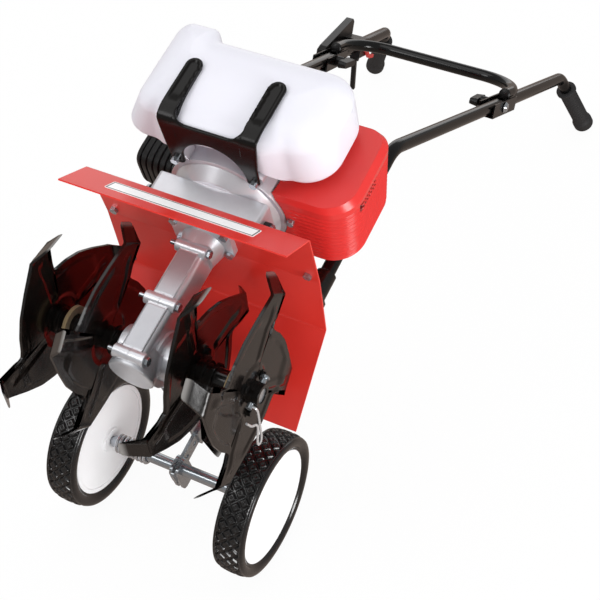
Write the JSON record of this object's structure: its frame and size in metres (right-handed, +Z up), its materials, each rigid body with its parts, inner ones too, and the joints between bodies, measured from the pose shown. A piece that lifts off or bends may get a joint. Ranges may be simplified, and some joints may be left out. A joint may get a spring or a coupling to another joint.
{
  "type": "garden tiller",
  "caption": "Small petrol garden tiller parked on its wheels and grips, with turning tine stars, engine, sliding wheel axle and folding handles.",
  "frame": {"origin": "on the floor, under the middle of the whole length and width of the parked tiller", "axes": "+X to the right of the person behind the handles, +Y back towards the grips, +Z up"},
  "size_m": [0.479, 1.3333, 0.6291],
  "materials": {
    "cast_aluminium": "cast, bead blasted",
    "red_paint": "gloss",
    "red_plastic": "moulded",
    "black_paint": "satin",
    "zinc_steel": "zinc plated",
    "bare_steel": "machined",
    "bronze": "hobbed",
    "white_label": "bare label film",
    "tank_white": "blow moulded",
    "wheel_white": "moulded",
    "black_plastic": "moulded",
    "black_rubber": "moulded",
    "tyre_rubber": "moulded tread",
    "felt": "felt"
  },
  "bodies": {
    "frame": {"gear_case_left": "cast_aluminium", "gear_case_right": "cast_aluminium", "gear_case_end_cap": "cast_aluminium", "bearings": "bare_steel", "guard": "red_paint", "label_strip": "white_label", "clutch_housing": "cast_aluminium", "rubber_bushes": "black_rubber", "hex_bolts": "zinc_steel", "fan_housing": "cast_aluminium", "crankcase": "cast_aluminium", "cylinder": "cast_aluminium", "spark_plug_cap": "black_rubber", "carburettor": "cast_aluminium", "air_filter": "black_plastic", "muffler": "bare_steel", "engine_cover": "red_plastic", "socket_screws": "zinc_steel", "starter_cover": "black_plastic", "fuel_tank": "tank_white", "tank_bracket": "black_paint", "handle_base": "black_paint", "lower_handle_left": "black_paint", "lower_handle_right": "black_paint", "wheel_arm": "zinc_steel"},
    "tines": {"tine_shaft": "bare_steel", "worm_wheel": "bronze", "tine_hubs": "black_paint", "felt_washers": "felt", "clevis_pins": "zinc_steel", "spring_clips": "zinc_steel", "tine_left_outer": "black_paint", "tine_left_inner": "black_paint", "tine_right_inner": "black_paint", "tine_right_outer": "black_paint"},
    "drive": {"drive_shaft": "bare_steel", "clutch_drum": "bare_steel"},
    "crank": {"crankshaft": "bare_steel", "flywheel": "bare_steel", "clutch_shoes": "bare_steel"},
    "wheel_carrier": {"wheel_axle": "zinc_steel", "height_bar": "zinc_steel", "axle_spring": "zinc_steel"},
    "wheel_left": {"wheel_disc_left": "wheel_white", "tyre_left": "tyre_rubber"},
    "wheel_right": {"wheel_disc_right": "wheel_white", "tyre_right": "tyre_rubber"},
    "upper_handle": {"upper_handle_left": "black_paint", "upper_handle_right": "black_paint", "crossbar": "black_paint", "grip_left": "black_rubber", "grip_right": "black_rubber", "fold_bolts": "zinc_steel", "throttle_housing": "black_plastic"},
    "knob_left": {"wing_knob_left": "black_plastic"},
    "knob_right": {"wing_knob_right": "black_plastic"},
    "trigger": {"throttle_trigger": "black_plastic"},
    "stop": {"stop_lever": "red_plastic"},
    "choke": {"choke_lever": "black_plastic"},
    "cap": {"fuel_cap": "black_plastic"}
  },
  "joints": [
    {"name": "tine_spin", "type": "hinge", "parent": "frame", "child": "tines", "pos_m": [0, -0.52316, 0.35265], "axis": [1, 0, 0], "continuous": true},
    {"name": "drive_spin", "type": "hinge", "parent": "frame", "child": "drive", "pos_m": [0, -0.53208, 0.38025], "axis": [0, 0.9516, 0.3074], "continuous": true},
    {"name": "crank_spin", "type": "hinge", "parent": "frame", "child": "crank", "pos_m": [0, -0.34176, 0.44172], "axis": [0, 0.9516, 0.3074], "continuous": true},
    {"name": "wheel_height", "type": "slide", "parent": "frame", "child": "wheel_carrier", "axis": [0, 0.9516, 0.3074], "range_m": [-0.044, 0]},
    {"name": "wheel_left_spin", "type": "hinge", "parent": "wheel_carrier", "child": "wheel_left", "pos_m": [-0.128, -0.492, 0.1], "axis": [1, 0, 0], "continuous": true},
    {"name": "wheel_right_spin", "type": "hinge", "parent": "wheel_carrier", "child": "wheel_right", "pos_m": [0.128, -0.492, 0.1], "axis": [1, 0, 0], "continuous": true},
    {"name": "handle_fold", "type": "hinge", "parent": "frame", "child": "upper_handle", "pos_m": [0, 0.27957, 0.26213], "axis": [1, 0, 0], "range_deg": [0, 120]},
    {"name": "knob_left_turn", "type": "hinge", "parent": "upper_handle", "child": "knob_left", "pos_m": [-0.15146, 0.27957, 0.26213], "axis": [1, 0, 0], "continuous": true},
    {"name": "knob_right_turn", "type": "hinge", "parent": "upper_handle", "child": "knob_right", "pos_m": [0.15146, 0.27957, 0.26213], "axis": [1, 0, 0], "continuous": true},
    {"name": "throttle_pull", "type": "hinge", "parent": "upper_handle", "child": "trigger", "pos_m": [-0.16265, 0.41188, 0.18496], "axis": [0.9973, 0.0683, -0.0276], "range_deg": [0, 25], "stiffness_Nm_per_rad": 0.3},
    {"name": "stop_switch", "type": "hinge", "parent": "upper_handle", "child": "stop", "pos_m": [-0.14197, 0.41299, 0.2104], "axis": [0.9973, 0.0683, -0.0276], "range_deg": [0, 20]},
    {"name": "choke_turn", "type": "hinge", "parent": "frame", "child": "choke", "pos_m": [-0.091, -0.21275, 0.43925], "axis": [0, 0.9516, 0.3074], "range_deg": [0, 60]},
    {"name": "fuel_cap_turn", "type": "hinge", "parent": "frame", "child": "cap", "pos_m": [-0.06, -0.22115, 0.55634], "axis": [0, 0.9516, 0.3074], "continuous": true}
  ],
  "couplings": [
    {"joint": "drive_spin", "follows": "tine_spin", "ratio": 34}
  ]
}
